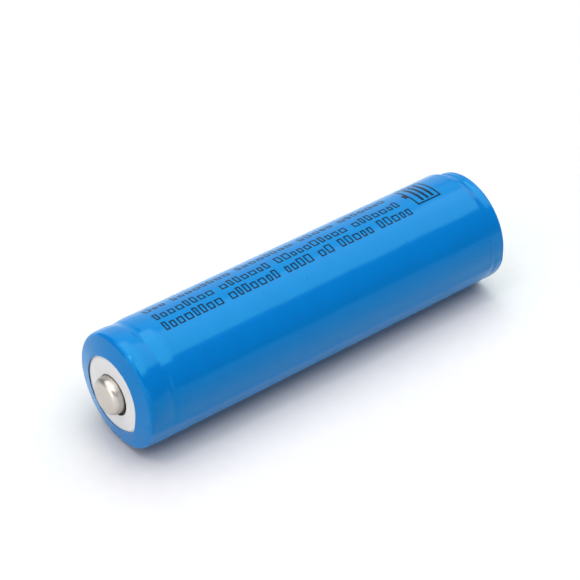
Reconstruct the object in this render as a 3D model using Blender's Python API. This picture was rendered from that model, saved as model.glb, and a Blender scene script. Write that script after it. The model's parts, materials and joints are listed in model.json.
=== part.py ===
"""Protected button-top lithium-ion cell, 18650 class, built from its separate pieces.

Blender 4.5, metres, +Z up. The cell lies along X: the positive button points to -X, the negative
contact to +X, and the origin is the middle of the cell on its axis. Turned pieces are profiles of
(station, radius) points spun around X. A station is the distance in millimetres from the plane of
the positive rim, and it grows towards the negative end.
"""

import math

import bmesh
import bpy
from mathutils import Matrix, Vector

MM = 0.001

# Driving dimensions, in millimetres
OVERALL_LENGTH = 70.0
SLEEVE_RADIUS = 9.2
BUTTON_HEIGHT = 1.9  # button top above the rim plane
SLEEVE_WALL = 0.12
CAN_LENGTH = 65.0
CAN_RADIUS = 9.05
CAN_WALL = 0.25
CAN_TOP = 0.65
WASHER_TOP = -0.42  # the flat middle of the dished washer
WASHER_THICKNESS = 0.22
HEADER_TOP = 0.11
GASKET = 0.27
VENT_SHEET = 0.22
SHEET = 0.1  # nickel strip
TAPE = 0.06
GAP = 0.03
LAYER_GAP = 0.02  # between the can, the tape, the sense strip and the sleeve

# Stations that the rest follows from
RIM_X = -OVERALL_LENGTH / 2 + BUTTON_HEIGHT
END = OVERALL_LENGTH - BUTTON_HEIGHT
CAN_BOTTOM = CAN_TOP + CAN_LENGTH
CAN_INNER = CAN_RADIUS - CAN_WALL
CAN_CORNER = 0.75  # radius of the crimped rim
BEAD = 4.25  # middle of the bead groove
BEAD_HALF_WIDTH = 0.95
BEAD_DIP = 0.18  # how far the sleeve sinks into it

# Facets round a turned piece: fine for the skin, coarse for what is inside
SKIN_FACETS = 48
CORE_FACETS = 24
SKIN_STEP = 360 / SKIN_FACETS

# The sense strip lies on three facets of the can, low on the cell's front
STRIP_ANGLE = 210
STRIP_FACETS = 3
TAPE_FACETS = 5
SPACER_OPENING_FACETS = 5
STRIP_OUTSIDE = CAN_RADIUS + TAPE + SHEET + 3 * LAYER_GAP

# Winding
ROLL_START_RADIUS = 1.75
ROLL_TURNS = 6
ROLL_STEPS_PER_TURN = 20
ROLL_TOP = 6.2
ROLL_BOTTOM = 63.9
SEPARATOR_OVERHANG = 0.25
CATHODE_THICKNESS = 0.34
ANODE_THICKNESS = 0.28
SEPARATOR_THICKNESS = 0.12
ROLL_PITCH = CATHODE_THICKNESS + ANODE_THICKNESS + 2 * SEPARATOR_THICKNESS + 4 * GAP
ROLL_RADIUS = ROLL_START_RADIUS + (ROLL_TURNS + 1) * ROLL_PITCH

# Protection board
BOARD_INNER = 67.2
BOARD_THICKNESS = 0.6
BOARD_RADIUS = 8.5
CONTACT_RADIUS = 7.0
SPACER_RADIUS = 8.45

# Colour, metallic, roughness
FINISHES = {
    "sleeve_blue": ((0.012, 0.17, 0.55), 0.0, 0.16),
    "washer_white": ((0.70, 0.71, 0.72), 0.0, 0.6),
    "nickel_plate": ((0.62, 0.60, 0.56), 1.0, 0.25),
    "can_steel": ((0.45, 0.45, 0.46), 1.0, 0.35),
    "aluminium": ((0.75, 0.76, 0.78), 1.0, 0.35),
    "gasket_plastic": ((0.55, 0.56, 0.55), 0.0, 0.45),
    "ptc_polymer": ((0.05, 0.05, 0.05), 0.0, 0.5),
    "cathode_coating": ((0.02, 0.02, 0.022), 0.0, 0.8),
    "anode_coating": ((0.045, 0.045, 0.05), 0.0, 0.75),
    "separator_film": ((0.85, 0.85, 0.83), 0.0, 0.4),
    "fibre_insulator": ((0.16, 0.20, 0.15), 0.0, 0.7),
    "winding_tape": ((0.55, 0.30, 0.05), 0.0, 0.35),
    "board_laminate": ((0.01, 0.12, 0.05), 0.0, 0.35),
    "chip_plastic": ((0.02, 0.02, 0.022), 0.0, 0.5),
    "chip_ceramic": ((0.35, 0.25, 0.16), 0.0, 0.5),
    "spacer_plastic": ((0.03, 0.03, 0.032), 0.0, 0.5),
}


def clear_scene():
    for obj in list(bpy.data.objects):
        bpy.data.objects.remove(obj, do_unlink=True)


def material(finish):
    """The named finish as a Principled material, made once."""
    if finish in bpy.data.materials:
        return bpy.data.materials[finish]
    colour, metallic, roughness = FINISHES[finish]
    made = bpy.data.materials.new(finish)
    made.use_nodes = True
    shader = made.node_tree.nodes["Principled BSDF"]
    shader.inputs["Base Color"].default_value = (*colour, 1.0)
    shader.inputs["Metallic"].default_value = metallic
    shader.inputs["Roughness"].default_value = roughness
    made.diffuse_color = (*colour, 1.0)
    return made


def add_object(name, bm, finish, smooth_under=35):
    """Turns a bmesh in millimetres, with stations along X, into an object in metres."""
    bmesh.ops.recalc_face_normals(bm, faces=bm.faces)
    bmesh.ops.transform(bm, matrix=Matrix.Translation((RIM_X, 0, 0)), verts=bm.verts)
    bmesh.ops.scale(bm, vec=(MM, MM, MM), verts=bm.verts)
    mesh = bpy.data.meshes.new(name)
    bm.to_mesh(mesh)
    bm.free()
    mesh.shade_smooth()
    mesh.set_sharp_from_angle(angle=math.radians(smooth_under))
    mesh.materials.append(material(finish))
    obj = bpy.data.objects.new(name, mesh)
    bpy.context.collection.objects.link(obj)
    return obj


def boolean(obj, tool, operation):
    """Adds an EXACT Boolean and hides its tool from renders."""
    tool.hide_render = True
    tool.display_type = "WIRE"
    modifier = obj.modifiers.new(tool.name, "BOOLEAN")
    modifier.operation = operation
    modifier.solver = "EXACT"
    modifier.object = tool


def arc(centre, radius, start, end, steps):
    """Profile points on an arc around (station, radius); degrees, 0 along +X, 90 outwards."""
    station, out = centre
    points = []
    for i in range(steps + 1):
        angle = math.radians(start + (end - start) * i / steps)
        points.append((station + radius * math.cos(angle), out + radius * math.sin(angle)))
    return points


def spin_profile(profile, facets, first_edge, count, widen=None):
    """Spins a closed profile about X over `count` of `facets` facets, from an angle in degrees.

    `widen` may give a further radius in millimetres for a (station, angle in degrees).
    A part turn gets flat ends, and points on the axis become one.
    """
    bm = bmesh.new()
    whole = count == facets
    columns = []
    for i in range(count if whole else count + 1):
        degrees = first_edge + 360 * i / facets
        out = Vector((0, math.cos(math.radians(degrees)), math.sin(math.radians(degrees))))
        column = []
        for station, radius in profile:
            more = widen(station, degrees) if widen else 0.0
            column.append(bm.verts.new(Vector((station, 0, 0)) + out * (radius + more)))
        columns.append(column)
    for i in range(count):
        near, far = columns[i], columns[(i + 1) % len(columns)]
        for j in range(len(profile)):
            k = (j + 1) % len(profile)
            bm.faces.new((near[j], near[k], far[k], far[j]))
    if not whole:
        bm.faces.new(columns[0])
        bm.faces.new(columns[-1])
    bmesh.ops.remove_doubles(bm, verts=bm.verts, dist=1e-6)
    return bm


def turned(name, profile, finish, facets=CORE_FACETS, widen=None):
    """A whole turned piece, with a facet facing straight down."""
    bm = spin_profile(profile, facets, 180 / facets, facets, widen)
    return add_object(name, bm, finish)


def turned_sector(name, profile, finish, middle, count):
    """A piece that covers `count` skin facets centred on an angle in degrees."""
    first_edge = middle - count * SKIN_STEP / 2
    return add_object(name, spin_profile(profile, SKIN_FACETS, first_edge, count), finish)


def ribbon(points, thickness):
    """The outline of a strip of even thickness along a line of (station, height) points."""
    line = [Vector(p) for p in points]
    sides = []
    for i, point in enumerate(line):
        before = (point - line[i - 1]).normalized() if i else None
        after = (line[i + 1] - point).normalized() if i + 1 < len(line) else None
        along = ((before or after) + (after or before)).normalized()
        normal = Vector((-along.y, along.x))
        bend = (after or before).dot(along)
        sides.append((point, normal * (thickness / 2 / bend)))
    upper = [tuple(point + offset) for point, offset in sides]
    lower = [tuple(point - offset) for point, offset in reversed(sides)]
    return upper + lower


def extruded(name, outline, finish, width, turn=0.0):
    """An outline of (station, height) points given a width, then turned about X by degrees."""
    bm = bmesh.new()
    face = bm.faces.new([bm.verts.new((x, -width / 2, z)) for x, z in outline])
    grown = bmesh.ops.extrude_face_region(bm, geom=[face])
    moved = [item for item in grown["geom"] if isinstance(item, bmesh.types.BMVert)]
    bmesh.ops.translate(bm, vec=(0, width, 0), verts=moved)
    bmesh.ops.rotate(bm, matrix=Matrix.Rotation(math.radians(turn), 3, "X"), verts=bm.verts)
    return add_object(name, bm, finish)


def box_mesh(centre, size):
    bm = bmesh.new()
    bmesh.ops.create_cube(bm, size=1.0)
    bmesh.ops.scale(bm, vec=size, verts=bm.verts)
    bmesh.ops.translate(bm, vec=centre, verts=bm.verts)
    return bm


# ---------------------------------------------------------------- sleeve and positive end


def strip_bulge(station, degrees):
    """How far the sleeve stands out over the sense strip and its tape, which bridge the bead."""
    height = STRIP_OUTSIDE - (SLEEVE_RADIUS - SLEEVE_WALL)
    if abs(station - BEAD) < 0.5:
        height += BEAD_DIP
    off = abs((degrees - STRIP_ANGLE + 180) % 360 - 180)
    flat, foot = STRIP_FACETS / 2 * SKIN_STEP + 0.1, TAPE_FACETS / 2 * SKIN_STEP + 0.1
    if off > foot + SKIN_STEP / 2:
        across = 0.0
    else:
        across = 1.0 if off <= flat else 0.55
    along = min(1.0, max(0.0, (station - 0.3) / 0.6)) * min(1.0, max(0.0, (66.6 - station) / 0.8))
    return height * across * along


def sleeve_line(inset):
    """The sleeve's outline from lip to lip, moved inwards by `inset`."""
    rim, end_rim = 0.87, 0.25
    radius = SLEEVE_RADIUS
    groove = SPACER_RADIUS + GAP + SLEEVE_WALL
    cap = BOARD_RADIUS + GAP + SLEEVE_WALL
    last = END - 0.15
    line = [(-0.57 + inset, 5.95), (0.0 + inset, radius - rim)]
    line += arc((rim, radius - rim), rim - inset, 150, 90, 2)
    line += [(BEAD - BEAD_HALF_WIDTH, radius - inset), (BEAD - 0.3, radius - BEAD_DIP - inset)]
    line += [(BEAD + 0.3, radius - BEAD_DIP - inset), (BEAD + BEAD_HALF_WIDTH, radius - inset)]
    line += [(65.8, radius - inset), (66.08 - inset / 2, radius - 0.16 - inset)]
    line += [(66.45, groove - inset), (66.95, groove - inset), (67.15, cap - inset)]
    line += arc((last - end_rim, cap - end_rim), end_rim - inset, 90, 0, 2)
    line += [(last - inset, CONTACT_RADIUS + 0.35)]
    return line


def make_sleeve():
    profile = sleeve_line(0.0) + sleeve_line(SLEEVE_WALL)[::-1]
    turned("shrink_sleeve", profile, "sleeve_blue", SKIN_FACETS, strip_bulge)


def make_washer():
    """Dished fibre ring: it lies over the crimp and rises to a flat middle."""
    hole, flat, outer, edge = 3.29, 5.7, 7.95, 0.19
    under = WASHER_TOP + WASHER_THICKNESS
    profile = [(WASHER_TOP, hole), (WASHER_TOP, flat), (edge, outer)]
    profile += [(edge + WASHER_THICKNESS, outer), (under, flat), (under, hole)]
    turned("insulator_washer", profile, "washer_white", SKIN_FACETS)


def make_button():
    """Stamped button with a flange, open underneath and vented near its foot."""
    sheet, outer, flat, flange = 0.25, 2.85, 1.95, 4.6
    flange_top = WASHER_TOP + WASHER_THICKNESS + GAP
    shoulder = outer - flat
    profile = [(-BUTTON_HEIGHT, 0), (-BUTTON_HEIGHT, flat)]
    profile += arc((-BUTTON_HEIGHT + shoulder, flat), shoulder, 150, 90, 2)
    profile += [(flange_top, outer), (flange_top, flange), (flange_top + sheet, flange)]
    profile += [(flange_top + sheet, outer - sheet), (-BUTTON_HEIGHT + shoulder, outer - sheet)]
    profile += [(-BUTTON_HEIGHT + sheet, flat - 0.1), (-BUTTON_HEIGHT + sheet, 0)]
    button = turned("button_cap", profile, "nickel_plate", SKIN_FACETS)
    vents = box_mesh((flange_top - 0.35, 0, 0), (0.4, 0.9, 2 * flange))
    boolean(button, add_object("button_vent_cutter", vents, "nickel_plate"), "DIFFERENCE")


def make_header():
    """The sealed stack in the crimp; returns the station of its inner face."""
    clear = 0.06  # between the gasket and the can
    rim = CAN_INNER - clear - GASKET - GAP
    sheet, plateau, flange = 0.32, 5.5, 1.25
    under = HEADER_TOP + sheet
    cap = [(HEADER_TOP, 0), (HEADER_TOP, plateau), (flange, plateau + 0.35), (flange, rim)]
    cap += [(flange + sheet, rim), (flange + sheet, plateau), (under, plateau - 0.35), (under, 0)]
    header_cap = turned("header_cap", cap, "nickel_plate")
    vents = box_mesh((0.85, 0, 0), (0.34, 1.8, 2 * (plateau + 0.8)))
    boolean(header_cap, add_object("header_vent_cutter", vents, "nickel_plate"), "DIFFERENCE")

    ring = flange + sheet + GAP
    thick = 0.28
    turned("ptc_ring", rectangle(ring, ring + thick, 6.0, rim), "ptc_polymer")

    disc = ring + thick + GAP
    dish = 0.3
    vent = [(disc + dish, 0), (disc + dish, 1.5), (disc, 4.2), (disc, rim)]
    vent += [(disc + VENT_SHEET, rim), (disc + VENT_SHEET, 4.2)]
    vent += [(disc + dish + VENT_SHEET, 1.5), (disc + dish + VENT_SHEET, 0)]
    turned("vent_disc", vent, "aluminium")

    thin = 0.3
    spacer = disc + VENT_SHEET + GAP
    turned("cid_insulator_ring", rectangle(spacer, spacer + thin, 5.2, rim), "gasket_plastic")

    lower = spacer + thin + GAP
    plate = turned("cid_lower_disc", rectangle(lower, lower + thin, 0, rim), "aluminium")
    holes = bmesh.new()
    for i in range(6):
        angle = math.radians(60 * i + 30)
        place = Matrix.Translation((lower, 4.6 * math.cos(angle), 4.6 * math.sin(angle)))
        bmesh.ops.create_cone(
            holes, cap_ends=True, segments=12, radius1=0.8, radius2=0.8, depth=2.0,
            matrix=place @ Matrix.Rotation(math.pi / 2, 4, "Y"),
        )
    boolean(plate, add_object("lower_disc_cutter", holes, "aluminium"), "DIFFERENCE")

    seat = lower + thin + GAP
    wall = rim + GAP
    outer = wall + GASKET
    corner = CAN_CORNER - CAN_WALL - clear
    gasket = [(CAN_TOP + CAN_CORNER - corner, 6.9)]
    gasket += arc((CAN_TOP + CAN_CORNER, outer - corner), corner, 180, 90, 3)
    gasket += [(seat + 0.2, outer), (seat + 0.2, 6.5), (seat, 6.5)]
    gasket += [(seat, wall), (flange - GAP, wall), (flange - GAP, 6.9)]
    turned("header_gasket", gasket, "gasket_plastic")
    return lower + thin


def rectangle(start, end, inner, outer):
    return [(start, inner), (start, outer), (end, outer), (end, inner)]


# ---------------------------------------------------------------- can and winding


def can_line(inset):
    """The can's outline from its crimped lip to its bottom centre, moved inwards by `inset`."""
    radius, corner, foot = CAN_RADIUS, CAN_CORNER, 0.5
    bead_depth, bead_radius = 1.15, 0.42
    bead_reach = BEAD_HALF_WIDTH + inset
    line = arc((CAN_TOP + corner, radius - corner), corner - inset, 180, 90, 3)
    line += [(BEAD - bead_reach, radius - inset)]
    line += arc((BEAD, radius - bead_depth + bead_radius), bead_radius + inset, 210, 330, 3)
    line += [(BEAD + bead_reach, radius - inset)]
    line += arc((CAN_BOTTOM - foot, radius - foot), foot - inset, 90, 0, 2)
    return line


def make_can():
    lip = 7.05
    outside = [(CAN_TOP, lip)] + can_line(0.0) + [(CAN_BOTTOM, 0)]
    inside = [(CAN_TOP + CAN_WALL, lip)] + can_line(CAN_WALL) + [(CAN_BOTTOM - CAN_WALL, 0)]
    turned("steel_can", outside + inside[::-1], "can_steel", SKIN_FACETS)


def spiral_sheet(name, offset, thickness, overhang, finish):
    """One wound sheet: a strip that gains one pitch of radius each turn."""
    bm = bmesh.new()
    start, end = ROLL_TOP - overhang, ROLL_BOTTOM + overhang
    steps = ROLL_TURNS * ROLL_STEPS_PER_TURN
    columns = []
    for i in range(steps + 1):
        turn = i / ROLL_STEPS_PER_TURN
        angle = 2 * math.pi * turn
        out = Vector((0, math.cos(angle), math.sin(angle)))
        inner = ROLL_START_RADIUS + offset + ROLL_PITCH * turn
        corners = [(start, inner), (start, inner + thickness), (end, inner + thickness), (end, inner)]
        columns.append([bm.verts.new(Vector((x, 0, 0)) + out * r) for x, r in corners])
    for near, far in zip(columns, columns[1:]):
        for j in range(4):
            k = (j + 1) % 4
            bm.faces.new((near[j], near[k], far[k], far[j]))
    bm.faces.new(columns[0])
    bm.faces.new(columns[-1])
    add_object(name, bm, finish)


def make_winding():
    layers = [
        ("cathode_sheet", CATHODE_THICKNESS, 0.0, "cathode_coating"),
        ("separator_inner", SEPARATOR_THICKNESS, SEPARATOR_OVERHANG, "separator_film"),
        ("anode_sheet", ANODE_THICKNESS, 0.0, "anode_coating"),
        ("separator_outer", SEPARATOR_THICKNESS, SEPARATOR_OVERHANG, "separator_film"),
    ]
    offset = 0.0
    for name, thickness, overhang, finish in layers:
        spiral_sheet(name, offset, thickness, overhang, finish)
        offset += thickness + GAP

    tape = rectangle(20.0, 50.0, ROLL_RADIUS + 0.02, ROLL_RADIUS + 0.02 + TAPE)
    turned_sector("closing_tape", tape, "winding_tape", 0, 13)
    make_centre_pin()


def make_centre_pin():
    """Slotted steel tube in the winding's eye."""
    profile = rectangle(ROLL_TOP + 0.4, ROLL_BOTTOM - 0.4, 1.15, 1.4)
    bm = spin_profile(profile, CORE_FACETS, 97.5, CORE_FACETS - 1)
    add_object("centre_pin", bm, "can_steel")


def make_insulators():
    """Discs above and below the winding; the upper one has an eye and a slot for the tab."""
    top = ROLL_TOP - SEPARATOR_OVERHANG - 0.1
    upper = turned("top_insulator", rectangle(top - 0.25, top, 1.6, 8.55), "fibre_insulator")
    slot = box_mesh((top - 0.1, 0, 4.2), (1.0, 5.0, 0.6))
    boolean(upper, add_object("tab_slot_cutter", slot, "fibre_insulator"), "DIFFERENCE")

    bottom = ROLL_BOTTOM + SEPARATOR_OVERHANG + 0.15
    turned("bottom_insulator", rectangle(bottom, bottom + 0.25, 1.6, 8.0), "fibre_insulator")


def make_tabs(header_face):
    """The aluminium tab runs from the winding to the header, the nickel one to the can's bottom."""
    seat = ROLL_TOP - SEPARATOR_OVERHANG - GAP
    weld = header_face + GAP + SHEET / 2
    line = [(seat, 4.2), (5.0, 4.2), (4.4, 3.4), (4.4, -2.6), (4.05, -3.1), (3.7, -2.6)]
    line += [(3.7, 1.4), (3.4, 2.2), (weld, 1.8), (weld, -1.5)]
    extruded("positive_tab", ribbon(line, SHEET), "aluminium", 4.0)

    outside = ROLL_RADIUS - ROLL_PITCH / 2 + 0.1 + SHEET / 2
    foot = CAN_BOTTOM - CAN_WALL - GAP - SHEET / 2
    line = [(44.0, -outside), (foot - 0.3, -outside), (foot, -outside + 0.3), (foot, 2.0)]
    extruded("negative_tab", ribbon(line, SHEET), "nickel_plate", 2.4, turn=-90)


# ---------------------------------------------------------------- protection board


def make_sense_strip():
    """The strip from the button's flange, over the rim and along the can, to the board."""
    def along_can(height):
        line = [(CAN_TOP - height, 6.75)]
        centre = (CAN_TOP + CAN_CORNER, CAN_RADIUS - CAN_CORNER)
        line += arc(centre, CAN_CORNER + height, 180, 90, 3)
        return line

    tape_height = LAYER_GAP + TAPE / 2
    tape = along_can(tape_height) + [(CAN_BOTTOM - 0.5, CAN_RADIUS + tape_height)]
    turned_sector("sense_strip_tape", ribbon(tape, TAPE), "winding_tape", STRIP_ANGLE, TAPE_FACETS)

    height = LAYER_GAP + TAPE + LAYER_GAP + SHEET / 2
    on_plateau = HEADER_TOP - GAP - SHEET / 2
    strip = [(on_plateau, 4.64), (on_plateau, 5.75)] + along_can(height)
    strip += [(CAN_BOTTOM - 0.5, CAN_RADIUS + height), (CAN_BOTTOM - 0.05, CAN_RADIUS)]
    strip += [(CAN_BOTTOM + 0.3, 8.7), (CAN_BOTTOM + 0.65, 8.4), (BOARD_INNER - GAP, 8.3)]
    turned_sector("sense_strip", ribbon(strip, SHEET), "nickel_plate", STRIP_ANGLE, STRIP_FACETS)


def make_board_stack():
    insulator = CAN_BOTTOM + GAP
    turned("board_insulator", rectangle(insulator, insulator + 0.2, 3.2, 8.3), "fibre_insulator")

    spacer = rectangle(insulator + 0.23, BOARD_INNER - GAP, 7.7, SPACER_RADIUS)
    count = SKIN_FACETS - SPACER_OPENING_FACETS
    turned_sector("board_spacer", spacer, "spacer_plastic", STRIP_ANGLE + 180, count)

    outer_face = BOARD_INNER + BOARD_THICKNESS
    broken = 0.08
    board = [(BOARD_INNER, 0), (BOARD_INNER, BOARD_RADIUS), (outer_face - broken, BOARD_RADIUS)]
    board += [(outer_face, BOARD_RADIUS - broken), (outer_face, 0)]
    turned("protection_board", board, "board_laminate", SKIN_FACETS)

    contact = outer_face + GAP
    disc = [(contact, 0), (contact, CONTACT_RADIUS), (END - 0.08, CONTACT_RADIUS)]
    disc += [(END, CONTACT_RADIUS - 0.1), (END, 0)]
    turned("negative_contact", disc, "nickel_plate", SKIN_FACETS)

    foot = insulator + SHEET / 2
    head = BOARD_INNER - GAP - SHEET / 2
    line = [(foot, -2.4), (foot, 2.2), (foot + 0.25, 2.5), (head - 0.25, 2.5), (head, 2.2)]
    line += [(head, -1.0)]
    extruded("negative_link", ribbon(line, SHEET), "nickel_plate", 3.0)


def make_chip(name, place, size, leads, finish="chip_plastic"):
    """A moulded body on the board's inner face, with `leads` metal feet on each long side."""
    length, width, height = size
    y, z = place
    middle = BOARD_INNER - GAP - height / 2
    bm = box_mesh((middle - 0.02, y, z), (height - 0.04, length, width))
    bmesh.ops.bevel(bm, geom=bm.edges[:], offset=0.06, segments=1, affect="EDGES")
    chip = add_object(name, bm, finish)
    if not leads:
        return
    bars = bmesh.new()
    for i in range(leads):
        across = y + (i - (leads - 1) / 2) * 0.65
        bar = Matrix.LocRotScale(
            (BOARD_INNER - GAP - 0.1, across, z), None, (0.2, 0.3, width + 1.0)
        )
        bmesh.ops.create_cube(bars, size=1.0, matrix=bar)
    boolean(chip, add_object(name + "_leads", bars, finish), "UNION")


def make_components():
    make_chip("mosfet_pair", (-4.3, -1.6), (3.0, 4.4, 0.95), 4)
    make_chip("protection_chip", (4.0, -2.6), (2.9, 1.6, 0.95), 3)
    make_chip("sense_resistor", (4.2, 1.2), (1.6, 0.8, 0.45), 0)
    make_chip("supply_resistor", (4.2, 3.2), (1.6, 0.8, 0.45), 0)
    make_chip("filter_capacitor", (-4.2, 3.4), (1.6, 0.8, 0.8), 0, "chip_ceramic")


def main():
    clear_scene()
    make_sleeve()
    make_washer()
    make_button()
    header_face = make_header()
    make_can()
    make_winding()
    make_insulators()
    make_tabs(header_face)
    make_sense_strip()
    make_board_stack()
    make_components()


main()
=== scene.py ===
"""Looks of the protected button-top cell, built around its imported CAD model.

The cell lies along X with its positive end at -X. A place on it is given by its station, in
millimetres from the plane of the positive rim, its radius from the axis in millimetres, and
its angle about the axis in degrees: 0 is +Y, 90 is up.
"""

import json
import math

import bmesh
import bpy
from mathutils import Euler, Matrix, Vector, noise


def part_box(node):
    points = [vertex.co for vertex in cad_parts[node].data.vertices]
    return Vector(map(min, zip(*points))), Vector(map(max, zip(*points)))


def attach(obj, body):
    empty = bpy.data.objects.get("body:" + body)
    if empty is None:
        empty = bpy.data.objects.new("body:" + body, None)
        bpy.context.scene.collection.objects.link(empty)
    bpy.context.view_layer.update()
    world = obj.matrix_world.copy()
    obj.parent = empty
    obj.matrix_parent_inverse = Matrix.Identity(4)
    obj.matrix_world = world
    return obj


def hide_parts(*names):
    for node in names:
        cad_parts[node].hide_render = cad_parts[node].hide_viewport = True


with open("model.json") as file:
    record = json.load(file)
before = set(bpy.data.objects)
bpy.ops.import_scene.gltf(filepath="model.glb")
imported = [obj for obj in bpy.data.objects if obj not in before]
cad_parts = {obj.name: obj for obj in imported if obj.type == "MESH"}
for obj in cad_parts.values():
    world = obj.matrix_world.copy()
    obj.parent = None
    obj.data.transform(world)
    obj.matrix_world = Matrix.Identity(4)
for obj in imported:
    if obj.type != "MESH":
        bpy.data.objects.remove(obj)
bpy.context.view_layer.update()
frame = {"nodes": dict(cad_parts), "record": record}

MM = 0.001
CAD_BUTTON_HEIGHT = 1.9  # how far the CAD button stands out of the rim's plane
RIM_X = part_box("button_cap")[0].x + CAD_BUTTON_HEIGHT * MM
TABLE_Z = -9.23 * MM

# The sizes of the pieces are in millimetres, with places along X given as stations, and their angles
# are in degrees. A centre is an offset from the axis along Y and along Z.

# Shrink sleeve
BODY_RADIUS = 9.2
FILM = 0.08
COLUMNS = 480  # points once round the film
TURNED_COLUMNS = 144  # points once round an end piece

# The film's positive end: its lip on the face, the rounded rim, and the bead groove behind it
LIP_STATION = -0.57
LIP_RADIUS = 5.95
FACE_RADIUS = 8.6  # beyond this the face is no longer stretched towards the lip
RIM_FILLET = 0.87
BEAD = 4.15
PLEAT_LEAN = 0.46  # radians from the radial direction to the film's normal at the pleat
PLEAT_ANGLE = 113.7

# The film's negative end: a groove between the can and the board, then a fold over the board's edge
SHOULDER = 65.0
GROOVE = 66.0
GROOVE_RADIUS = 8.75
FOLD = 67.3
FOLD_RADIUS = 8.9
END_SKEW = -0.2  # how far this end is shrunk off the axis, along Y and along Z

# The sense strip under the film, low on the front
STRIP_RADIUS = 9.39
STRIP_FROM = 196.5
STRIP_TO = 223.5
STRIP_SIDE = 215.0  # the side on which the film bridges the groove

# End pieces: the visual washer and button sit a little lower than the axis
WASHER_FACE = -0.42
WASHER_SHEET = 0.22
WASHER_HOLE = 3.3
WASHER_RADIUS = 7.95
WASHER_CENTRE = (-0.15, -0.26)
BUTTON_TOP = -2.05
BUTTON_FOOT = -0.17
BUTTON_SHEET = 0.25
BUTTON_RADIUS = 2.9
FOOT_RADIUS = 3.02
FLANGE_RADIUS = 4.6
BUTTON_CENTRE = (0.0, -0.17)
CONTACT_FACE = 68.1
CONTACT_BACK = 67.83
CONTACT_RADIUS = 7.0

# Print: each row is its first and last angle and the number of boxes in each group
PRINT_ROWS = [
    (62.0, 71.0, [3, 8, 8, 5, 7]),
    (79.0, 89.0, [8, 7, 10, 7]),
    (93.5, 104.5, [8, 7, 4, 2, 5, 5]),
]
PRINT_START = 8.0
STROKE = 0.25
LETTER_GAP = 0.38
WORD_GAP = 1.0
INK_BOTTOM = 0.002  # above the film
INK_TOP = 0.012

# Battery sign
SIGN_START = 56.6
SIGN_END = 61.2
SIGN_FIRST = 60.0
SIGN_LAST = 98.0
SIGN_WALL = 0.3
SIGN_NUB = 0.6
SIGN_BAR = 0.5

# Soft light panels, in metres: centre, the way it faces, width and height, radiance, colour
WHITE = (1.0, 1.0, 1.0)
DOWN = (0, 0, -1)
PANELS = {
    "overhead": ((-0.55, 0.125, 0.6), DOWN, (0.9, 0.85), 1.65, (1.08, 1.0, 0.97)),
    "overhead_middle": ((0.075, -0.04, 0.6), DOWN, (0.35, 0.92), 3.8, WHITE),
    "overhead_far": ((0.475, -0.065, 0.6), DOWN, (0.45, 0.63), 2.7, WHITE),
    "overhead_back": ((0.425, 0.6, 0.6), DOWN, (0.55, 0.7), 0.9, (0.8, 1.6, 1.3)),
    "lamp": ((-0.225, -0.02, 0.595), DOWN, (0.11, 0.06), 20.0, WHITE),
    "front_fill": ((-0.475, -0.75, 0.2), (0, 1, 0), (1.05, 0.4), 1.1, WHITE),
    "left_front_fill": ((-1.0, -0.467, 0.3), (1, 0, 0), (0.567, 0.6), 2.2, WHITE),
    "left_fill": ((-1.0, 0.1, 0.3), (1, 0, 0), (0.567, 0.6), 1.9, WHITE),
    "back_wall": ((0.575, 0.95, 0.3), (0, -1, 0), (1.05, 0.6), 0.8, (0.9, 1.1, 1.0)),
    "far_wall": ((1.1, 0.5, 0.35), (-1, 0, 0), (0.4, 0.4), 2.5, WHITE),
}

# Camera: azimuth, elevation and roll in degrees, target in millimetres, distance in metres
CAMERA_AZIMUTH = -38.33
CAMERA_ELEVATION = 37.66
CAMERA_ROLL = 0.18
CAMERA_TARGET = (-0.76, 0, 3.3)
CAMERA_DISTANCE = 0.34996
CAMERA_LENS = 143.75


def ease(value, start, end):
    """0 before start, 1 after end, smooth between."""
    t = min(1.0, max(0.0, (value - start) / (end - start)))
    return t * t * (3 - 2 * t)


def place(station, radius, degrees, centre=(0.0, 0.0)):
    """A point in metres; `centre` moves the axis in millimetres."""
    angle = math.radians(degrees)
    y = centre[0] + radius * math.cos(angle)
    z = centre[1] + radius * math.sin(angle)
    return Vector((RIM_X + station * MM, y * MM, z * MM))


# ---------------------------------------------------------------- materials


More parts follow.
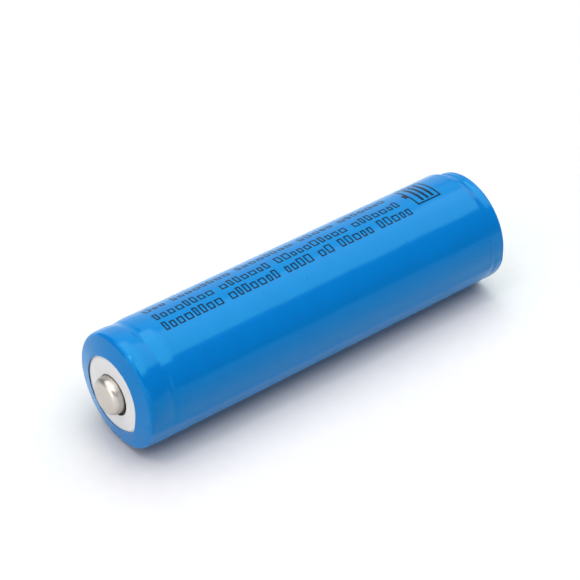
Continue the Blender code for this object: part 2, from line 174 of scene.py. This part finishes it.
class Finish:
    """A procedural material: its texture nodes read object coordinates in metres."""

    def __init__(self, name, metallic=0.0, **sockets):
        self.material = bpy.data.materials.new(name)
        self.material.use_nodes = True
        self.tree = self.material.node_tree
        self.shader = self.tree.nodes["Principled BSDF"]
        self.shader.inputs["Metallic"].default_value = metallic
        for socket, value in sockets.items():
            self.shader.inputs[socket.replace("_", " ")].default_value = value
        self.coordinates = self.tree.nodes.new("ShaderNodeTexCoord").outputs["Object"]

    def stretched(self, stretch):
        mapping = self.tree.nodes.new("ShaderNodeMapping")
        mapping.inputs["Scale"].default_value = stretch
        self.tree.links.new(self.coordinates, mapping.inputs["Vector"])
        return mapping.outputs["Vector"]

    def noise(self, size, detail=3.0, stretch=(1, 1, 1), distortion=0.0):
        """Noise from 0 to 1 with features of about `size` millimetres."""
        node = self.tree.nodes.new("ShaderNodeTexNoise")
        node.inputs["Scale"].default_value = 1 / (size * MM)
        node.inputs["Detail"].default_value = detail
        node.inputs["Distortion"].default_value = distortion
        self.tree.links.new(self.stretched(stretch), node.inputs["Vector"])
        return node.outputs["Fac"]

    def cells(self, size):
        """Distance to the nearest of scattered points about `size` millimetres apart."""
        node = self.tree.nodes.new("ShaderNodeTexVoronoi")
        node.inputs["Scale"].default_value = 1 / (size * MM)
        self.tree.links.new(self.coordinates, node.inputs["Vector"])
        return node.outputs["Distance"]

    def ranged(self, value, low, high, start=0.0, end=1.0):
        """`value` from low..high mapped to start..end and held there outside."""
        node = self.tree.nodes.new("ShaderNodeMapRange")
        node.inputs["From Min"].default_value = low
        node.inputs["From Max"].default_value = high
        node.inputs["To Min"].default_value = start
        node.inputs["To Max"].default_value = end
        self.tree.links.new(value, node.inputs["Value"])
        return node.outputs["Result"]

    def along(self, first, last):
        """0 to 1 between two stations."""
        axes = self.tree.nodes.new("ShaderNodeSeparateXYZ")
        self.tree.links.new(self.coordinates, axes.inputs["Vector"])
        return self.ranged(axes.outputs["X"], RIM_X + first * MM, RIM_X + last * MM)

    def blend(self, mask, clouds):
        """`mask` with a little of the clouds added, held to 0..1."""
        node = self.tree.nodes.new("ShaderNodeMath")
        node.operation = "MULTIPLY_ADD"
        node.use_clamp = True
        node.inputs[1].default_value = 0.12
        self.tree.links.new(clouds, node.inputs[0])
        self.tree.links.new(mask, node.inputs[2])
        return node.outputs["Value"]

    def colour(self, value, first, second):
        """Base colour that goes from first to second as `value` goes from 0 to 1."""
        node = self.tree.nodes.new("ShaderNodeMix")
        node.data_type = "RGBA"
        node.inputs[6].default_value = (*first, 1)
        node.inputs[7].default_value = (*second, 1)
        self.tree.links.new(value, node.inputs["Factor"])
        self.tree.links.new(node.outputs[2], self.shader.inputs["Base Color"])

    def flecked(self, mask, shade):
        """Base colour covered with `shade` where `mask` is 1."""
        below = self.shader.inputs["Base Color"].links[0].from_socket
        node = self.tree.nodes.new("ShaderNodeMix")
        node.data_type = "RGBA"
        node.inputs[7].default_value = (*shade, 1)
        self.tree.links.new(below, node.inputs[6])
        self.tree.links.new(mask, node.inputs["Factor"])
        self.tree.links.new(node.outputs[2], self.shader.inputs["Base Color"])

    def rough(self, value, low, high):
        """Roughness from low to high as `value` goes from 0.2 to 0.8."""
        spread = self.ranged(value, 0.2, 0.8, low, high)
        self.tree.links.new(spread, self.shader.inputs["Roughness"])

    def relief(self, *layers):
        """Bump from (value, depth in millimetres) layers."""
        normal = None
        for value, depth in layers:
            bump = self.tree.nodes.new("ShaderNodeBump")
            bump.inputs["Distance"].default_value = depth * MM
            self.tree.links.new(value, bump.inputs["Height"])
            if normal:
                self.tree.links.new(normal, bump.inputs["Normal"])
            normal = bump.outputs["Normal"]
        self.tree.links.new(normal, self.shader.inputs["Normal"])


def sleeve_film():
    """Glossy pigmented shrink film with faint flow lines and rubbed specks."""
    film = Finish(
        "sleeve_blue", IOR=1.45, Specular_Tint=(0.17, 1.0, 0.95, 1.0),
        Sheen_Weight=0.3, Sheen_Roughness=0.5, Sheen_Tint=(0.0, 0.5, 1.0, 1.0),
    )
    cloud = film.noise(3.0, detail=4.0)
    film.colour(film.ranged(cloud, 0.3, 0.7), (0.001, 0.122, 0.384), (0.001, 0.129, 0.402))
    film.flecked(film.ranged(film.cells(3.0), 0.03, 0.045, 1.0, 0.0), (0.001, 0.04, 0.14))
    film.rough(film.noise(0.7, detail=5.0), 0.12, 0.20)
    drawn = film.noise(0.6, detail=2.0, stretch=(0.15, 1, 1))
    grain = film.noise(0.06, detail=2.0)
    film.relief((drawn, 0.0005), (grain, 0.0001))
    return film.material


def print_ink():
    """Dark ink, a little duller than the film under it."""
    ink = Finish("sleeve_print_ink", IOR=1.36, Specular_Tint=(0.1, 0.5, 0.9, 1.0))
    speckle = ink.noise(0.08, detail=4.0)
    ink.colour(ink.ranged(speckle, 0.35, 0.75), (0.001, 0.005, 0.022), (0.001, 0.010, 0.038))
    ink.rough(ink.noise(0.4), 0.16, 0.26)
    ink.relief((speckle, 0.0006))
    return ink.material


def washer_fibre():
    """Pressed white fibre: short felted strands with a dry surface."""
    fibre = Finish("washer_white")
    strands = fibre.noise(0.12, detail=6.0, distortion=1.5)
    fibre.colour(fibre.ranged(strands, 0.3, 0.7), (0.59, 0.585, 0.575), (0.67, 0.665, 0.655))
    fibre.rough(strands, 0.55, 0.75)
    fibre.relief((strands, 0.006), (fibre.noise(0.9), 0.01))
    return fibre.material


def plated_metal(name, colour, dull, scratch=(1, 1, 1)):
    """Plated sheet with tarnish clouds and a fine grain, drawn out where `scratch` is below 1."""
    metal = Finish(name, metallic=1.0)
    metal.colour(metal.ranged(metal.noise(1.6, detail=5.0), 0.35, 0.72), colour, dull)
    lines = metal.noise(0.25, detail=4.0, stretch=scratch)
    metal.rough(lines, 0.2, 0.36)
    metal.relief((lines, 0.0006))
    return metal.material


def button_nickel():
    """Smooth nickel, faintly clouded, painted near black where it sits deeper than the washer's face:
    painted shade in the gap round the foot, brownish like the residue there.
    """
    nickel = Finish("button_nickel", metallic=1.0)
    clouds = nickel.noise(1.6, detail=5.0)
    # Painted shade: the nickel goes near black past the washer's face, in the gap round the foot
    painted_gap_shade = nickel.blend(nickel.along(WASHER_FACE, WASHER_FACE + 0.12), clouds)
    nickel.colour(painted_gap_shade, (0.65, 0.605, 0.54), (0.02, 0.012, 0.01))
    nickel.rough(nickel.noise(0.5, detail=4.0), 0.32, 0.40)
    nickel.relief((nickel.noise(0.3), 0.0002))
    return nickel.material


def dull_plastic(name, first, second, size=0.5, rough=(0.4, 0.55)):
    """Moulded or pressed plastic: soft clouds of colour about `size` millimetres across, fine grain."""
    plastic = Finish(name)
    plastic.colour(plastic.ranged(plastic.noise(size, detail=4.0), 0.35, 0.65), first, second)
    grain = plastic.noise(0.08, detail=3.0)
    plastic.rough(grain, *rough)
    plastic.relief((grain, 0.004))
    return plastic.material


def electrode_coating(name, first, second):
    """Calendered powder on foil: fine dark grains with coating streaks along the roll."""
    coating = Finish(name)
    streaks = coating.noise(1.2, detail=3.0, stretch=(1, 0.2, 0.2))
    grains = coating.cells(0.05)
    coating.colour(coating.ranged(streaks, 0.3, 0.7), first, second)
    coating.rough(grains, 0.6, 0.85)
    coating.relief((grains, 0.004), (streaks, 0.003))
    return coating.material


def board_laminate():
    """Green solder mask over glass weave."""
    board = Finish("board_laminate")
    weave = board.tree.nodes.new("ShaderNodeTexWave")
    weave.inputs["Scale"].default_value = 1 / (1.2 * MM)
    weave.inputs["Distortion"].default_value = 1.0
    board.tree.links.new(board.coordinates, weave.inputs["Vector"])
    threads = weave.outputs["Fac"]
    board.colour(board.ranged(threads, 0.2, 0.8), (0.010, 0.085, 0.030), (0.014, 0.110, 0.042))
    board.rough(board.noise(0.5), 0.25, 0.4)
    board.relief((threads, 0.004))
    return board.material


METALS = {
    "contact_nickel": ((0.72, 0.69, 0.64), (0.62, 0.58, 0.52), (1, 0.1, 1)),
    "can_steel": ((0.62, 0.60, 0.57), (0.52, 0.50, 0.47), (0.1, 1, 1)),
    "header_nickel": ((0.66, 0.63, 0.58), (0.55, 0.51, 0.46)),
    "strip_nickel": ((0.70, 0.67, 0.61), (0.6, 0.56, 0.5), (0.1, 1, 1)),
    "aluminium": ((0.80, 0.80, 0.81), (0.70, 0.70, 0.71), (0.2, 1, 1)),
}
COATINGS = {
    "cathode_coating": ((0.018, 0.018, 0.020), (0.030, 0.030, 0.032)),
    "anode_coating": ((0.030, 0.032, 0.036), (0.050, 0.052, 0.058)),
}
PLASTICS = {
    "gasket_plastic": ((0.62, 0.62, 0.58), (0.70, 0.70, 0.66)),
    "ptc_polymer": ((0.02, 0.02, 0.022), (0.035, 0.034, 0.034)),
    "separator_film": ((0.76, 0.77, 0.78), (0.84, 0.84, 0.85), 1.5),
    "fibre_insulator": ((0.14, 0.18, 0.13), (0.20, 0.24, 0.18), 0.3),
    "winding_tape": ((0.55, 0.30, 0.05), (0.66, 0.38, 0.07), 1.0, (0.2, 0.3)),
    "chip_plastic": ((0.018, 0.018, 0.018), (0.028, 0.028, 0.029), 0.2),
    "chip_ceramic": ((0.30, 0.24, 0.17), (0.38, 0.31, 0.23), 0.2),
    "spacer_plastic": ((0.022, 0.022, 0.023), (0.034, 0.034, 0.035)),
}


def make_materials():
    """Every finish by its slot, and the ink."""
    made = {
        "sleeve_blue": sleeve_film(),
        "print_ink": print_ink(),
        "washer_white": washer_fibre(),
        "button_nickel": button_nickel(),
        "board_laminate": board_laminate(),
    }
    for kind, table in ((plated_metal, METALS), (electrode_coating, COATINGS), (dull_plastic, PLASTICS)):
        for name, values in table.items():
            made[name] = kind(name, *values)
    return made


# ---------------------------------------------------------------- shapes


def rounded(corners, steps=10):
    """The line through (station, radius, fillet) corners, each fillet drawn as an arc."""
    line = []
    for i, (station, radius, fillet) in enumerate(corners):
        corner = Vector((station, radius))
        if not fillet:
            line.append(corner)
            continue
        before = (Vector(corners[i - 1][:2]) - corner).normalized()
        after = (Vector(corners[i + 1][:2]) - corner).normalized()
        half = before.angle(after) / 2
        centre = corner + (before + after).normalized() * (fillet / math.sin(half))
        start = corner + before * (fillet / math.tan(half)) - centre
        end = corner + after * (fillet / math.tan(half)) - centre
        turn = start.angle_signed(end)
        for j in range(steps + 1):
            line.append(centre + Matrix.Rotation(-turn * j / steps, 2) @ start)
    return line


def resampled(line, step_at):
    """The same line in steps no longer than step_at(station), corners kept.

    Along a run of more than 10 mm the step is chosen anew at each point.
    """
    points = [line[0]]
    for a, b in zip(line, line[1:]):
        length = (b - a).length
        if length < 1e-6:
            continue
        if abs(b.x - a.x) > 10:
            station = a.x
            while station < b.x - 1e-6:
                station = min(b.x, station + step_at(station))
                points.append(a.lerp(b, (station - a.x) / (b.x - a.x)))
            continue
        count = max(1, math.ceil(length / step_at((a.x + b.x) / 2)))
        points += [a.lerp(b, (i + 1) / count) for i in range(count)]
    return points


def line_normals(line):
    """Unit normals that point outwards from a line drawn towards +X."""
    normals = []
    for i in range(len(line)):
        along = line[min(i + 1, len(line) - 1)] - line[max(i - 1, 0)]
        normals.append(Vector((-along.y, along.x)).normalized())
    return normals


def closed_rows(name, rows, material):
    """A closed piece from rows of points that all go once round, the last row next to the first."""
    bm = bmesh.new()
    made = [[bm.verts.new(point) for point in row] for row in rows]
    count = len(rows[0])
    for i, row in enumerate(made):
        following = made[(i + 1) % len(made)]
        for j in range(count):
            k = (j + 1) % count
            bm.faces.new((row[j], row[k], following[k], following[j]))
    return add_piece(name, bm, material)


def add_piece(name, bm, material):
    """An object from `bm`, smooth except at edges sharper than 40 degrees."""
    bmesh.ops.recalc_face_normals(bm, faces=bm.faces)
    mesh = bpy.data.meshes.new(name)
    bm.to_mesh(mesh)
    bm.free()
    mesh.shade_smooth()
    mesh.set_sharp_from_angle(angle=math.radians(40.0))
    mesh.materials.append(material)
    piece = bpy.data.objects.new(name, mesh)
    bpy.context.scene.collection.objects.link(piece)
    return piece


def turned(name, profile, material, centre=(0.0, 0.0)):
    """A closed profile of (station, radius) points spun about the axis; points on it become one."""
    angles = [360 * j / TURNED_COLUMNS for j in range(TURNED_COLUMNS)]
    rows = [[place(p[0], p[1], a, centre) for a in angles] for p in profile]
    piece = closed_rows(name, rows, material)
    bm = bmesh.new()
    bm.from_mesh(piece.data)
    bmesh.ops.remove_doubles(bm, verts=bm.verts, dist=1e-8)
    bm.to_mesh(piece.data)
    bm.free()
    return piece


# ---------------------------------------------------------------- sleeve


def strip_height(station, degrees, base):
    """How far the film stands off `base`, where it is drawn tight over the sense strip.

    The film is flat over the strip and leaves it along tangents. At both ends the strip sinks, and the
    film stands off over a wider angle.
    """
    top = STRIP_RADIUS - 0.19 * (1 - ease(station, 0.3, 2.4))
    top -= 0.30 * ease(station, SHOULDER, SHOULDER + 2.4) + 0.10 * lobe(station, GROOVE, 0.7)
    if top <= base:
        return 0.0
    reach = math.degrees(math.acos(base / top))
    wider = 2.5 * (1 - ease(station, 2, 10)) + 5 * ease(station, SHOULDER - 0.5, SHOULDER + 2)
    beside = max(STRIP_FROM - degrees, degrees - STRIP_TO) - wider
    if beside <= 0:
        return top - base
    if beside >= reach:
        return 0.0
    return base / math.cos(math.radians(reach - beside)) - base


def wrinkle(station, degrees):
    """Gentle unevenness of shrunk film, more of it near the bead and most on the front beside it."""
    angle = math.radians(degrees)
    outwards = Vector((0, math.cos(angle), math.sin(angle)))
    spot = 2 * outwards + Vector((station / 7, 0, 0))
    streak = 0.008 * noise.noise(5 * outwards + Vector((station / 50, 0, 0)))
    crumple = 0.012 * (1 - ease(station, 5, 14)) * noise.noise(2.6 * spot)
    pinched = 0.045 * lobe(station, 6.5, 5.5) * lobe(degrees, 176, 38) * noise.noise(5.5 * spot)
    return 0.016 * noise.noise(spot) + streak + crumple + pinched


def groove_fill(station, degrees, base):
    """Before the board the film hugs a groove on top and bridges it on the strip's side."""
    bridged = BODY_RADIUS - 0.27 * min(1.0, max(0.0, (station - SHOULDER - 0.4) / 1.9))
    turned_away = abs(degrees - STRIP_SIDE)
    turned_away = min(turned_away, 360 - turned_away)
    share = 1 - ease(turned_away, 75, 118)
    return share * max(0.0, bridged - base)


def lobe(station, centre, half_width):
    """A smooth bump: 1 at its centre, 0 beyond its half-width."""
    off = abs(station - centre) / half_width
    return math.cos(math.pi / 2 * off) ** 2 if off < 1 else 0.0


def pleat(lean, degrees):
    """How far a small flat lifts the rounded rim where the film's normal leans by `lean` radians."""
    off = abs(RIM_FILLET * (lean - PLEAT_LEAN))
    held = (1 - ease(off, 0.4, 0.9)) * (1 - ease(abs(degrees - PLEAT_ANGLE), 3, 7))
    return 0.35 * held * off * off / RIM_FILLET


def side_radius(station, degrees, base):
    """The film's radius on the cell's side, from the radius of its plain outline."""
    # The film sinks into the bead groove and stands up a little behind it.
    base -= 0.10 * lobe(station, BEAD, 0.95) + 0.09 * lobe(station, BEAD - 0.05, 2.1)
    base += 0.03 * lobe(station, 6.6, 1.2)
    # The side is crowned towards the rim, and fuller low on the front.
    base -= 0.06 * ((2.1 - min(2.1, max(RIM_FILLET, station))) / 1.2) ** 2
    base += 0.18 * lobe(degrees, 238, 34) * (1 - ease(station, 1.5, 6))
    if station > SHOULDER:
        base += groove_fill(station, degrees, base)
    return base + strip_height(station, degrees, base) + wrinkle(station, degrees)


def lip_radius(degrees):
    """The film's edge round the positive end: pulled out low on the front, a little uneven elsewhere."""
    pulled = 0.5 * math.exp(-((degrees - 217) / 17) ** 2)
    flatter = 0.12 * math.exp(-((degrees - 265) / 25) ** 2)
    return LIP_RADIUS + pulled - flatter + 0.05 * math.sin(math.radians(3 * degrees + 40))


def sleeve_outline():
    """The film's outer line from its lip round the positive face to its edge on the negative face."""
    corners = [
        (LIP_STATION, LIP_RADIUS, 0), (0.18, BODY_RADIUS, RIM_FILLET),
        (SHOULDER + 0.35, BODY_RADIUS, 0.5), (GROOVE + 0.1, GROOVE_RADIUS, 0.35),
        (GROOVE + 0.6, GROOVE_RADIUS, 0.25), (GROOVE + 1, FOLD_RADIUS, 0.2),
        (67.95, FOLD_RADIUS, 0.25), (67.95, 7.35, 0),
    ]

    def step(station):
        if station < 8 or station > 64:
            return 0.12
        return 0.5

    return resampled(rounded(corners), step)


def film_point(point, normal, degrees):
    """The film's outer surface at one angle: (station, radius) in millimetres."""
    station, radius = point
    if station < 1:
        lifted = pleat(math.asin(-normal.x), degrees)
        station += normal.x * lifted
        radius += normal.y * lifted
    if point.x < 0.2:
        # The face towards the positive end is stretched to its own uneven lip.
        share = max(0.0, (FACE_RADIUS - radius) / (FACE_RADIUS - LIP_RADIUS))
        radius += (lip_radius(degrees) - LIP_RADIUS) * share
        height = ease(radius, 6.4, FACE_RADIUS) * (side_radius(1.0, degrees, BODY_RADIUS) - BODY_RADIUS)
        return station + normal.x * height, radius + normal.y * height
    if station > FOLD:
        # The negative face carries the side's unevenness, less of it towards the middle.
        held = ease(radius, 7.6, 8.85)
        return station, radius + held * (side_radius(FOLD, degrees, FOLD_RADIUS) - FOLD_RADIUS)
    return station, side_radius(station, degrees, radius)


def film_rows(line, normals, inset):
    """Rows of the film's surface, moved inwards by `inset`."""
    rows = []
    for point, normal in zip(line, normals):
        row = []
        for j in range(COLUMNS):
            degrees = 360 * j / COLUMNS
            station, radius = film_point(point, normal, degrees)
            shift = END_SKEW * ease(station, SHOULDER, SHOULDER + 2.2)
            station -= normal.x * inset
            radius -= normal.y * inset
            row.append(place(station, radius, degrees, (shift, shift)))
        rows.append(row)
    return rows


def make_sleeve(materials):
    """The film, with a coarser inner surface."""
    line = sleeve_outline()
    normals = line_normals(line)
    outside = film_rows(line, normals, 0.0)
    kept = sorted(set(range(0, len(line), 4)) | {len(line) - 1})
    inside = film_rows([line[i] for i in kept], [normals[i] for i in kept], FILM)
    sleeve = closed_rows("sleeve_film", outside + inside[::-1], materials["sleeve_blue"])
    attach(sleeve, "root")
    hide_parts("shrink_sleeve")


# ---------------------------------------------------------------- print


def ink_cells(bm, stations, angles, inked):
    """A thin closed layer of ink over the cells of a (station, angle) grid that `inked` picks."""
    made = {}

    def corner(i, j, lift):
        if (i, j, lift) not in made:
            radius = side_radius(stations[i], angles[j], BODY_RADIUS) + lift
            made[i, j, lift] = bm.verts.new(place(stations[i], radius, angles[j]))
        return made[i, j, lift]

    def is_inked(i, j):
        return 0 <= i < len(stations) - 1 and 0 <= j < len(angles) - 1 and inked(i, j)

    for i in range(len(stations) - 1):
        for j in range(len(angles) - 1):
            if not is_inked(i, j):
                continue
            ring = [(i, j), (i + 1, j), (i + 1, j + 1), (i, j + 1)]
            beyond = [(i, j - 1), (i + 1, j), (i, j + 1), (i - 1, j)]
            bm.faces.new([corner(*spot, INK_TOP) for spot in ring])
            bm.faces.new([corner(*spot, INK_BOTTOM) for spot in ring[::-1]])
            for k in range(4):
                if not is_inked(*beyond[k]):
                    a, b = ring[k], ring[(k + 1) % 4]
                    top_edge = [corner(*b, INK_TOP), corner(*a, INK_TOP)]
                    bottom_edge = [corner(*a, INK_BOTTOM), corner(*b, INK_BOTTOM)]
                    bm.faces.new(top_edge + bottom_edge)


def around(first, last, edge):
    """Angles from first to last with one at `edge` degrees inside each end and close ones between."""
    inner = last - first - 2 * edge
    steps = max(2, math.ceil(inner / 1.5))
    return [first] + [first + edge + inner * i / steps for i in range(steps + 1)] + [last]


def blank_box(bm, start, end, first, last):
    """An empty outlined box, the stand-in for one printed character."""
    edge = math.degrees(STROKE / BODY_RADIUS)
    stations = [start, start + STROKE, end - STROKE, end]
    angles = around(first, last, edge)
    ink_cells(bm, stations, angles, lambda i, j: i != 1 or j in (0, len(angles) - 2))


def battery_sign(bm):
    """A plain outlined battery with three charge bars and a terminal nub."""
    inside = SIGN_START + SIGN_WALL
    bars = [inside + 0.35 + SIGN_BAR * i for i in range(1, 7)]
    stations = [SIGN_START - SIGN_NUB, SIGN_START, inside, *bars, SIGN_END - SIGN_WALL, SIGN_END]
    angles = around(SIGN_FIRST, SIGN_LAST, math.degrees(SIGN_WALL / BODY_RADIUS))
    top = len(angles) - 2
    nub = range(top // 2 - 2, top // 2 + 3)

    def inked(i, j):
        if i == 0:
            return j in nub
        if i in (1, len(stations) - 2) or j in (0, top):
            return True
        return i in (3, 5, 7) and 2 <= j <= top - 2

    ink_cells(bm, stations, angles, inked)


def make_print(materials):
    """Three rows of blank boxes in word-like groups, then the battery sign."""
    bm = bmesh.new()
    for first, last, words in PRINT_ROWS:
        station = PRINT_START
        for count in words:
            for i in range(count):
                width = 0.78 + 0.13 * ((5 * i + count) % 4)
                low = (3 * i + count) % 5 in (1, 2, 4)
                blank_box(bm, station, station + width, first + (2.6 if low else 0), last)
                station += width + LETTER_GAP
            station += WORD_GAP
    battery_sign(bm)
    ink = add_piece("sleeve_print", bm, materials["print_ink"])
    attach(ink, "root")


# ---------------------------------------------------------------- end pieces


def make_washer(materials):
    """A dished ring: flat in the middle, then falling to an edge under the film's lip."""
    edge = 0.19
    bend = 5.7
    corners = [
        (WASHER_FACE, WASHER_HOLE, 0), (WASHER_FACE, bend, 0.6), (edge, WASHER_RADIUS, 0),
        (edge + WASHER_SHEET, WASHER_RADIUS, 0), (WASHER_FACE + WASHER_SHEET, bend, 0),
        (WASHER_FACE + WASHER_SHEET, WASHER_HOLE, 0),
    ]
    washer = turned("washer_ring", rounded(corners), materials["washer_white"], WASHER_CENTRE)
    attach(washer, "root")
    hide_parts("insulator_washer")


def make_button(materials):
    """A stamped cup with a rounded shoulder and a flange under the washer."""
    corners = [
        (BUTTON_TOP, 0, 0), (BUTTON_TOP, BUTTON_RADIUS, 0.9), (BUTTON_FOOT, FOOT_RADIUS, 0.1),
        (BUTTON_FOOT, FLANGE_RADIUS, 0.05), (BUTTON_FOOT + BUTTON_SHEET, FLANGE_RADIUS, 0),
        (BUTTON_FOOT + BUTTON_SHEET, FOOT_RADIUS - BUTTON_SHEET, 0.1),
        (BUTTON_TOP + BUTTON_SHEET, BUTTON_RADIUS - BUTTON_SHEET, 0.65), (BUTTON_TOP + BUTTON_SHEET, 0, 0),
    ]
    button = turned("button_contact", rounded(corners), materials["button_nickel"], BUTTON_CENTRE)
    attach(button, "root")
    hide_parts("button_cap")


def make_negative_contact(materials):
    """A plain disc with softened edges."""
    corners = [
        (CONTACT_BACK, 0, 0), (CONTACT_BACK, CONTACT_RADIUS, 0.08), (CONTACT_FACE, CONTACT_RADIUS, 0.1),
        (CONTACT_FACE, 0, 0),
    ]
    disc = turned("contact_disc", rounded(corners), materials["contact_nickel"])
    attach(disc, "root")
    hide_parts("negative_contact")


def dress_cad_nodes(materials):
    """Gives each CAD node that still shows its procedural finish."""
    slots = {part["node"]: part["material_slot"] for part in frame["record"]["subparts"]}
    for node, obj in frame["nodes"].items():
        for slot in obj.material_slots:
            slot.material = materials[slots[node]]


# ---------------------------------------------------------------- stage


def make_floor():
    """A plain pale sheet."""
    floor = Finish("floor_paper")
    fibres = floor.noise(2.0, detail=4.0)
    floor.colour(floor.ranged(fibres, 0.3, 0.7), (0.590, 0.580, 0.580), (0.605, 0.595, 0.595))
    floor.rough(fibres, 0.5, 0.6)
    bm = bmesh.new()
    bmesh.ops.create_grid(bm, x_segments=8, y_segments=8, size=2.0)
    bmesh.ops.translate(bm, vec=(0, 0, TABLE_Z), verts=bm.verts)
    add_piece("floor", bm, floor.material)


def make_panel(name, centre, facing, size, radiance, colour):
    """A soft rectangular light; its energy gives it the same radiance at any size."""
    light = bpy.data.lights.new(name, "AREA")
    light.shape = "RECTANGLE"
    light.size, light.size_y = size
    light.energy = math.pi * size[0] * size[1] * radiance
    light.color = colour
    panel = bpy.data.objects.new(name, light)
    panel.location = centre
    panel.rotation_euler = (-Vector(facing)).to_track_quat("Z", "Y").to_euler()
    bpy.context.scene.collection.objects.link(panel)


def make_lights():
    """A dim sky and the panels: overhead, stronger past the negative end, and low on every side."""
    world = bpy.data.worlds.new("studio")
    world.use_nodes = True
    background = world.node_tree.nodes["Background"]
    background.inputs["Color"].default_value = (0.65, 0.88, 1.25, 1.0)
    background.inputs["Strength"].default_value = 0.17
    bpy.context.scene.world = world
    for name, values in PANELS.items():
        make_panel(name, *values)


def make_camera():
    """A long lens that looks down at the cell past its positive end."""
    azimuth = math.radians(CAMERA_AZIMUTH)
    elevation = math.radians(CAMERA_ELEVATION)
    back = Vector((
        math.sin(azimuth) * math.cos(elevation),
        -math.cos(azimuth) * math.cos(elevation),
        math.sin(elevation),
    ))
    data = bpy.data.cameras.new("camera")
    data.lens = CAMERA_LENS
    data.sensor_width = 36.0
    data.clip_start = 0.01
    camera = bpy.data.objects.new("camera", data)
    camera.location = Vector(CAMERA_TARGET) * MM + back * CAMERA_DISTANCE
    level = Euler((math.pi / 2 - elevation, 0, azimuth)).to_matrix()
    roll = Matrix.Rotation(math.radians(CAMERA_ROLL), 3, "Z")
    camera.rotation_euler = (level @ roll).to_euler()
    bpy.context.scene.collection.objects.link(camera)
    bpy.context.scene.camera = camera


make_camera()
MATERIALS = make_materials()
make_sleeve(MATERIALS)
make_print(MATERIALS)
make_washer(MATERIALS)
make_button(MATERIALS)
make_negative_contact(MATERIALS)
dress_cad_nodes(MATERIALS)
make_floor()
make_lights()
bpy.context.scene.view_settings.view_transform = "Standard"
